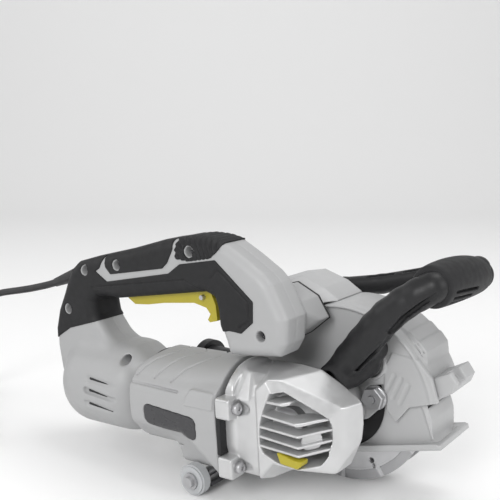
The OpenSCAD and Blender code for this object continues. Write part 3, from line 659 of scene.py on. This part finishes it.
GRILLE = [(-4, 28), (-11, 13), (-14.5, 2), (-15.5, -14), (-12, -20), (2, -25.5), (29, -27), (32, -22),
          (34.5, -9), (34.5, 1), (33, 8), (4.3, 28.5)]
BUTTON = [(1, -16.5), (22, -20.8), (21.5, -23.8), (19, -26), (4, -24.5), (2.5, -21)]
FLANGE_SCREWS = [(y, z) for y in (-101, -31) for z in (11, -37)]

# Each fin's height at the fold, how fast it rises to the rear of the fold, and the x where it ends
FINS = [(20.7, 0, 10), (6.8, 0.09, 60), (-1.9, 0.06, 60), (-10.3, 0.078, 60), (-16.8, 0.055, 60)]
FIN_FOLD_X = 20.5


def folded_front(x, y, z, upper):
    """The front of the gear head: one flat face, one folded back on the right and one at the upper right."""
    return np.maximum(np.maximum(FRONT_Y - y, half(x, y, z, *RIGHT_FACE)), half(x, y, z, *upper))


def head_field(x, y, z):
    """The casting: a ring with sloped faces, a flange plate, a neck, the fin pocket, a hub and four lugs."""
    front = folded_front(x, y, z, TOP_RIGHT_FACE)
    d = both(both(polygon_field(x, z, GEAR_HEAD), front, 1.0), y + 48, 6)
    for slope in RING_SLOPES:
        d = both(d, half(x, y, z, *slope), 0.8)
    fall = 0.9 * np.maximum(polygon_field(x, z, PLATE_FRONT), 0)
    plate = both(polygon_field(y, z, PLATE_PROFILE), np.maximum(span(x, -49, -2), -(y + 99) + fall), 1.5)
    d = join(d, plate, 0.8)
    drop = 14 * np.clip((-4 - x) / 12, 0, 1)
    d = both(d, half(x, y, z + drop, *UNDERSIDE), 2)
    neck = both(rod(y - MOTOR_Y, z, 41.5), np.maximum(span(x, -49, -41), -(y + 99)), 3)
    d = join(d, neck, 4)
    pocket = np.maximum(polygon_field(x, z, GRILLE), -(front + 19))
    d = cut(d, pocket, 0.8)
    hub = both(rod(x - 4, z + 4, 25), span(y, -60, -12.5), 3)
    d = join(d, hub, 4)
    for screw_y, screw_z in FLANGE_SCREWS:
        d = cut(d, capsule(x, y, z, (-39, screw_y, screw_z), (-30, screw_y, screw_z), 7.4, 5), 1)
        lug = both(np.abs(y - screw_y) - 8.5, np.abs(z - screw_z) - 8.5, 2.5)
        d = join(d, both(lug, span(x, -51.5, -38), 1.2), 1)
    return d


def fin_field(x, y, z):
    """The fins, folded along the front like the opening they fill, and the boss behind them."""
    d = 1e9
    front = folded_front(x, y, z, FIN_FACE)
    inside = np.maximum(polygon_field(x, z, GRILLE) - 1.5, np.maximum(front + 0.8, -(front + 14)))
    for z0, slope, end in FINS:
        height = z0 - np.minimum(x - FIN_FOLD_X, 0) * slope + np.maximum(x - FIN_FOLD_X, 0) * 0.05
        d = np.minimum(d, both(np.maximum(inside, x - end), np.abs(z - height) - 1.05, 0.5))
    boss = both(rod(x - 23, z + 8, 7), span(y, -94, -80), 3)
    return np.minimum(d, np.maximum(boss, front + 4.5))


def button_field(x, y, z):
    return both(polygon_field(x, z, BUTTON), span(y - 0.55 * np.maximum(x - 18, 0), -103, -92), 0.8)


def flange_screw_field(x, y, z):
    """Domed heads with a socket, one on each lug of the flange."""
    d = 1e9
    for screw_y, screw_z in FLANGE_SCREWS:
        head = both(rod(y - screw_y, z - screw_z, 4.9), span(x, -39, -33), 2.4)
        socket = both(rod(y - screw_y, z - screw_z, 1.6), -(x + 35))
        d = np.minimum(d, cut(head, socket))
    return d


def flange_gap_shade_field(x, y, z):
    """A black strip between the motor and the flange: painted shade for the gap between them."""
    return both(span(x, -53.4, -49.2), both(span(y, -107.2, -92), span(z, -28, 4)))


solid("gear_head_casting", (-52, -112, -50), (58, -10, 47), 0.85, head_field, "cast_aluminium", UNIT,
      "motor_unit", ["gear_head", "gear_head_cover"], 0.5)
solid("cooling_fins", (-18, -103, -30), (38, -74, 32), 0.6, fin_field, "cast_aluminium", UNIT,
      "motor_unit", keep=0.6)
solid("lock_button", (-2, -104, -30), (32, -92, -12), 0.5, button_field, "yellow_plastic", UNIT,
      "spindle_lock", ["spindle_lock_button"], 0.6)
solid("flange_screw_heads", (-40, -107, -43), (-31, -25, 17), 0.55, flange_screw_field, "steel", UNIT,
      "motor_unit", ["flange_screws"], 0.6)
# Painted shade: a black strip in the gap between the motor and the flange.
solid("flange_gap_painted_shade", (-54, -109, -30), (-48, -90, 6), 0.6, flange_gap_shade_field, "black_plastic", UNIT,
      "motor_unit", keep=0.5)

# ---------------------------------------------------------------- guards

HOOD_NEAR = [(-44, 91), (-24, 82), (-7, 77), (-12, 63), (-30, 60), (-70, 60)]
HOOD_FAR = [(-86, 60), (-86, 78), (-62, 90), (-43, 94), (-20, 87), (-5, 78), (2, 70)]
FOOT = [(-26, 98), (-7, 88), (3, 71), (-15, 57), (-56, 37), (-62, 60), (-50, 92)]

# The upper guard, outside and inside faces of its walls
GUARD_Y = (-12.4, 39.4)
GUARD_INSIDE_Y = (-9.8, 36.8)
RIM_CENTRE = (5, -3)
GUARD_EXTENT = [(-112, -31), (-112, 15), (-92, 30), (-110, 110), (110, 130), (110, 22), (66, 6), (55, -9),
                (44, 3), (30, -12), (0, -26), (-30, -24), (-70, -26)]
GUARD_REAR = [(-112, -31), (-112, 14), (-84, 26), (-60, 20), (-60, -26)]
GUARD_REAR_INSIDE = [(-109.5, -60), (-109.5, 12), (-80, 23), (-40, 20), (-40, -60)]
RIDGE_EXTENT = [(0, 0), (120, 14), (120, 120), (-20, 120)]
SIDE_PANEL = [(44, 3), (55, -9), (90, 14), (84, 33), (72, 46), (50, 48), (44, 34)]
SLOT_EXTENT = [(-88, -20), (60, -20), (60, 8), (47, 21)]
PANEL_MARKS = [[(53, 30), (46.5, 15)], [(59, 28), (52, 11)], [(65.5, 24.5), (58.5, 8)]]
LUG = [(80, 30), (96, 39), (102, 31), (99, 23), (86, 14), (78, 14)]
LUG_NOTCH = [(90, 60), (90, 33), (110, 24), (120, 60)]


def rim_radius(x, y, z):
    """The guard's radius: behind the near wall it grows in four steps toward the front, then falls back."""
    angle = np.degrees(np.arctan2(z, x))
    steps = sum(1.1 * np.clip((edge - angle) / 0.8, 0, 1) for edge in (62, 55, 48, 41))
    steps = steps - 4.4 * np.clip((34 - angle) / 6, 0, 1)
    return 82.0 + 1.2 * np.clip((y + 9) / 5, 0, 1) + steps * np.clip((y + 4) / 1.5, 0, 1)


def guard_details(d, x, y, z, reach):
    """Adds the ridge, side panel and collar to the near wall and cuts its recess, marks and lock slot."""
    ridge = both(np.abs(reach - 81) - 1.1, span(y, -14.2, -9), 0.5)
    d = join(d, np.maximum(ridge, polygon_field(x, z, RIDGE_EXTENT)), 1.2)
    d = join(d, both(polygon_field(x, z, SIDE_PANEL), span(y, -13.6, -9), 0.6), 1)
    d = np.maximum(d, polygon_field(x, z, GUARD_EXTENT))
    recess = both(rod(x - 33, z - 38, 12.5), span(y, -30, -11.4), 1)
    d = cut(d, recess, 0.8)
    collar = both(np.abs(rod(x - 30, z - 37, 14.2)) - 1.2, span(y, -14.4, -11))
    d = join(d, np.maximum(collar, 26 - x), 1)
    for route in PANEL_MARKS:
        mark = both(line_field(x, z, route) - 1.6, span(y, -20, -13.1))
        d = cut(d, mark, 0.2)
    from_pivot = np.sqrt((x - PIVOT[0]) ** 2 + (z - PIVOT[1]) ** 2)
    slot = both(np.abs(from_pivot - 133) - 3.6, polygon_field(x, z, SLOT_EXTENT))
    return cut(d, np.maximum(slot, span(y, -20, -9)))


def guard_field(x, y, z):
    """The upper guard: two side walls under a stepped rim, open below, with a closed rear end."""
    reach = np.sqrt((x - RIM_CENTRE[0]) ** 2 + (z - RIM_CENTRE[1]) ** 2)
    r = rim_radius(x, y, z)
    outer = both(reach - r, span(y, *GUARD_Y), 1.4)
    d = join(outer, both(polygon_field(x, z, GUARD_REAR), span(y, *GUARD_Y), 2), 3)
    between_walls = span(y, *GUARD_INSIDE_Y)
    inner = np.maximum(reach - r + 2.6, between_walls)
    d = cut(d, np.minimum(inner, np.maximum(polygon_field(x, z, GUARD_REAR_INSIDE), between_walls)))
    d = guard_details(d, x, y, z, reach)
    d = cut(d, np.maximum(rod(x, z, 23), span(y, -30, -5)))
    dust_opening = rod(y - 13.5, z + 8, 15.5) + np.where(x > -100, 50, 0)
    return cut(d, dust_opening)


def lug_field(x, y, z):
    """The block at the front of the rim, with a notch in its nose."""
    block = both(polygon_field(x, z, LUG), span(y, -7, 31), 1.5)
    return cut(block, both(polygon_field(x, z, LUG_NOTCH), span(y, -1, 12)), 1)


def hood_field(x, y, z):
    """The raised block between the handle and the guard: a low near end with bevels and a high far end."""
    near = both(polygon_field(x, z, HOOD_NEAR), span(y, -24, -8), 2)
    t = np.clip((y + 22) / 20, 0, 1)
    high = polygon_field(x + 8 * (1 - t), z + 2 - 4 * t, HOOD_FAR)
    far = both(high, span(y, -16, GUARD_Y[1]), 2)
    d = join(near, far, 2)
    slope = half(x, y, z, (0.25, -0.5, 0.83), (-24, -20, 84))
    d = both(d, slope, 1.5)
    return np.maximum(d, 80 - np.sqrt(x * x + z * z))


def foot_field(x, y, z):
    """Five-sided foot on the guard that the front leg of the handle stands in."""
    d = both(polygon_field(x, z, FOOT), span(y, -50, -21), 2.5)
    bevel = half(x, y, z, (0.75, -0.5, -0.4), (-2, -40, 66))
    return both(d, bevel, 2)


def foot_seam_field(x, y, z):
    """A thin dark line round the foot where it meets the guard."""
    return both(polygon_field(x, z, FOOT) - 0.6, span(y, -24.2, -22.2), 0.3)


solid("guard_shell", (-115, -16, -34), (106, 41, 95), 0.85, guard_field, "guard_silver", LEVEL,
      "motor_unit", ["upper_guard_near", "upper_guard_far"], 0.5)
solid("guard_lug", (76, -9, 11), (104, 33, 41), 0.8, lug_field, "guard_silver", LEVEL,
      "motor_unit", keep=0.5)
solid("hood", (-90, -26, 55), (8, 41, 100), 0.8, hood_field, "guard_silver", LEVEL,
      "motor_unit", ["guard_hood"], 0.5)
solid("handle_foot", (-66, -52, 34), (6, -19, 101), 0.8, foot_field, "grey_plastic", UNIT,
      "motor_unit", keep=0.5)
solid("foot_seam", (-66, -26, 34), (6, -20, 101), 0.7, foot_seam_field, "black_plastic", UNIT,
      "motor_unit", keep=0.5)

# ---------------------------------------------------------------- front handle


def chain(x, y, z, points):
    """A round bar through points of (x, y, z, radius)."""
    d = 1e9
    for a, b in zip(points, points[1:]):
        d = join(d, capsule(x, y, z, a[:3], b[:3], a[3], b[3]), 2)
    return d


# Places along each arm: x, y, z and the arm's radius there
NEAR_ARM = [(17, -36, 29, 12), (29, -36, 43, 13), (41, -36, 57, 13.2), (52, -36, 70, 13),
            (62, -36, 80.5, 12.6), (75, -35, 91, 12.2), (86, -33, 98, 12), (96, -29, 103.5, 12)]
FAR_ARM = [(96, 57.9, 103.5, 10), (88, 58.3, 101, 9.5), (51, 58.9, 93, 8.8), (8, 59, 84, 8.6),
           (-30, 58.2, 78, 9.5), (-42, 57, 75, 9.5)]

# Each grip slit's angle round the grip, in degrees, and its two ends in y
GRIP_SLITS = [(-20, -20, 22), (-40, -21, 16), (-58, -21, 8)]


def near_arm_field(x, y, z):
    """The near arm with its round foot, the lobe toward the guard, a bolt well and two long grooves."""
    d = chain(x, y, z, NEAR_ARM)
    foot = both(rod(x - 17, z - 27, 12.5), span(y, -49, -22), 3)
    d = join(d, foot, 3)
    low_lobe = capsule(x, y, z, (24, -28, 30), (34, -21, 36), 13, 11)
    high_lobe = capsule(x, y, z, (34, -21, 36), (44, -24, 50), 10, 10)
    d = join(d, join(low_lobe, high_lobe, 4), 4)
    d = cut(d, both(rod(x - 15.5, z - 28, 6), span(y, -60, -38)), 1.2)
    d = np.maximum(d, 8 - x)
    for route, width in (([(37, 36), (64, 64)], 0.8), ([(66, 69), (78, 82), (92, 93), (104, 101)], 1.6)):
        d = cut(d, both(line_field(x, z, route) - width, y + 38), 0.4)
    return d


def grip_field(x, y, z):
    """The round grip: a swelling middle, a collar, an end cap and slits along the front."""
    centre = 103 - 0.0007 * (y + 25) ** 2
    swell = 12.5 + 5.2 * np.sqrt(np.clip(1 - ((y - 8) / 52) ** 2, 0, 1))
    d = both(rod(x - 94, z - centre, swell), span(y, -30, 58), 4)
    collar = both(rod(x - 95, z - 103, 14.6), span(y, -29, -22), 2)
    d = join(d, collar, 1)
    cap = both(rod(x - 94, z - centre, 12.8), span(y, 56, 67), 3)
    d = join(d, cap, 1)
    angle = np.degrees(np.arctan2(z - centre, x - 95))
    for at, first, last in GRIP_SLITS:
        slit = both(np.abs(angle - at + 0.25 * (y - 5)) * 0.32 - 1.5, span(y, first, last))
        d = cut(d, np.maximum(slit, 13.5 - rod(x - 95, z - centre, 0)), 0.4)
    return d


def far_arm_field(x, y, z):
    d = chain(x, y, z, FAR_ARM)
    root = both(rod(x + 40, z - 75, 9.5), span(y, 38, 62), 2)
    d = join(d, root, 6)
    for x0, x1 in ((-6, 22), (30, 70)):
        slit = both(both(span(x, x0, x1), np.abs(y - 56) - 1.2), -(z - 88 - 0.22 * (x - 8)))
        d = cut(d, slit, 0.3)
    return d


solid("near_arm", (4, -51, 13), (110, -8, 120), 0.85, near_arm_field, "black_plastic", UNIT, "motor_unit",
      ["front_arm_near", "front_handle_bolts"], 0.5)
solid("grip", (76, -32, 84), (114, 69, 123), 0.75, grip_field, "rubber", UNIT, "motor_unit",
      ["front_grip"], 0.5)
solid("far_arm", (-53, 37, 62), (110, 73, 116), 0.85, far_arm_field, "black_plastic", UNIT, "motor_unit",
      ["front_arm_far"], 0.5)

# ---------------------------------------------------------------- base unit and discs

# The lock nut's and the spindle's places in the base frame, both from the pivot
LOCK = (129.3 * math.cos(math.radians(-2.7)), 129.3 * math.sin(math.radians(-2.7)))
HUB = (90.1, -4.55)
AXLE = (-4.05, -42.49)
LOWER_WALL = [(-14, -46.5), (8, -46.5), (8, -51.3), (173.5, -51.3), (173.5, -46), (170, -30), (169, -18),
              (169, 14), (116, 6), (60, 16), (14, 12), (0, 12), (-14, 0)]
HUB_OPENING = [(60, 0), (125, 0), (120, 80), (60, 80)]
FAR_DISC_Y = 26.0
SEGMENTS = 12
FIRST_GAP = 61.6 - 3.5


def lower_field(x, y, z):
    """The lower guard: two side walls joined by a curved front wall, standing on the base plate."""
    sides = both(polygon_field(x, z, LOWER_WALL), rod(x, z, 172.5))
    outer = both(sides, span(y, -9, 35.5), 1.2)
    inner = np.maximum(np.maximum(rod(x, z, 169.6), x - 168.5), span(y, -7, 33.5))
    d = cut(outer, inner)
    d = cut(d, np.minimum(rod(x - HUB[0], z - HUB[1], 43), polygon_field(x, z, HUB_OPENING)))
    rib = both(line_field(x, z, [(162, 10), (166, -20), (168, -44)]) - 0.9, span(y, -9.9, -8), 0.3)
    d = join(d, rib, 0.8)
    pivot_hole = np.maximum(rod(x, z, 5.2), span(y, -30, 60))
    return cut(d, pivot_hole)


def base_field(x, y, z):
    """The base plate: a frame open round the discs, with a lug for the axle and a low edge on each side."""
    d = both(both(span(x, -16, 176), span(z, -51.3, -46.7), 1), span(y, -15, 42), 1)
    d = cut(d, both(span(x, 8, 170), np.maximum(span(y, -6.5, 33), span(z, -60, -40)), 1))
    for y0, y1 in ((-15, -9.2), (35.7, 42)):
        d = join(d, both(both(span(x, -14, 8), span(z, -50, -36), 1.5), span(y, y0, y1), 0.8), 1)
    for y0, y1 in ((-15.4, -14.6), (41, 41.4)):
        d = join(d, both(both(span(x, 6, 174), span(z, -49.6, -44.6), 1), span(y, y0, y1), 0.5), 0.8)
    return cut(d, rod(x - AXLE[0], z - AXLE[1], 4.2))


def nut_field(x, y, z):
    """A hex nut on a round washer, hollow for the bolt."""
    u, w = x - LOCK[0], z - LOCK[1]
    across = np.maximum(np.maximum(np.abs(w), np.abs(0.866 * u + 0.5 * w)), np.abs(0.866 * u - 0.5 * w))
    nut = both(across - 8.6, span(y, -22.6, -17.2), 0.9)
    washer = both(rod(u, w, 10.2), span(y, -17.4, -14.4), 0.9)
    return cut(np.minimum(nut, washer), rod(u, w, 3.2))


def hub_opening_shade_field(x, y, z):
    """A dark half ring behind the lower guard's opening round the spindle: painted shade for the dark inside
    seen through it.
    """
    from_hub = np.hypot(x - HUB[0], z - HUB[1])
    return both(both(from_hub - 45, 28 - from_hub), np.maximum(span(y, -6.9, -5.6), span(z, -60, 2)))


def segment_field(x, y, z):
    """The rim segments of a disc, standing a little proud of its steel core."""
    reach = np.sqrt(x * x + z * z)
    d = both(both(reach - 75, 66.5 - reach, 0.2), np.abs(y) - 1.35, 0.2)
    turn = np.degrees(np.arctan2(-z, x))
    step = 360 / SEGMENTS
    from_gap = np.abs((turn + FIRST_GAP + step / 2) % step - step / 2) * np.pi / 180 * 70
    return np.maximum(d, 1.5 - from_gap)


solid("lower_guard_shell", (-16, -12, -53), (175, 38, 18), 0.85, lower_field, "guard_silver", BASE,
      "base_unit", ["lower_guard"], 0.5)
solid("base_sole", (-18, -17, -53), (178, 43, -34), 0.8, base_field, "guard_silver", BASE,
      "base_unit", ["base_plate"], 0.5)
solid("hex_lock_nut", (116, -24, -18), (142, -13, 6), 0.5, nut_field, "steel", BASE,
      "lock_nut", ["depth_lock_nut"], 0.6)
# Painted shade: a black half ring behind the opening round the spindle, standing in for the shadowed inside.
solid("hub_opening_painted_shade", (44, -8, -52), (137, -4, 4), 0.7, hub_opening_shade_field, "black_plastic", BASE,
      "base_unit", keep=0.4)
for disc_name, disc_y in (("near", 0.0), ("far", FAR_DISC_Y)):
    solid(f"rim_segments_{disc_name}", (-76, -2, -76), (76, 2, 76), 0.7, segment_field, "steel",
          UNIT @ Matrix.Translation((0, disc_y, 0)), "spindle_set", keep=0.4)
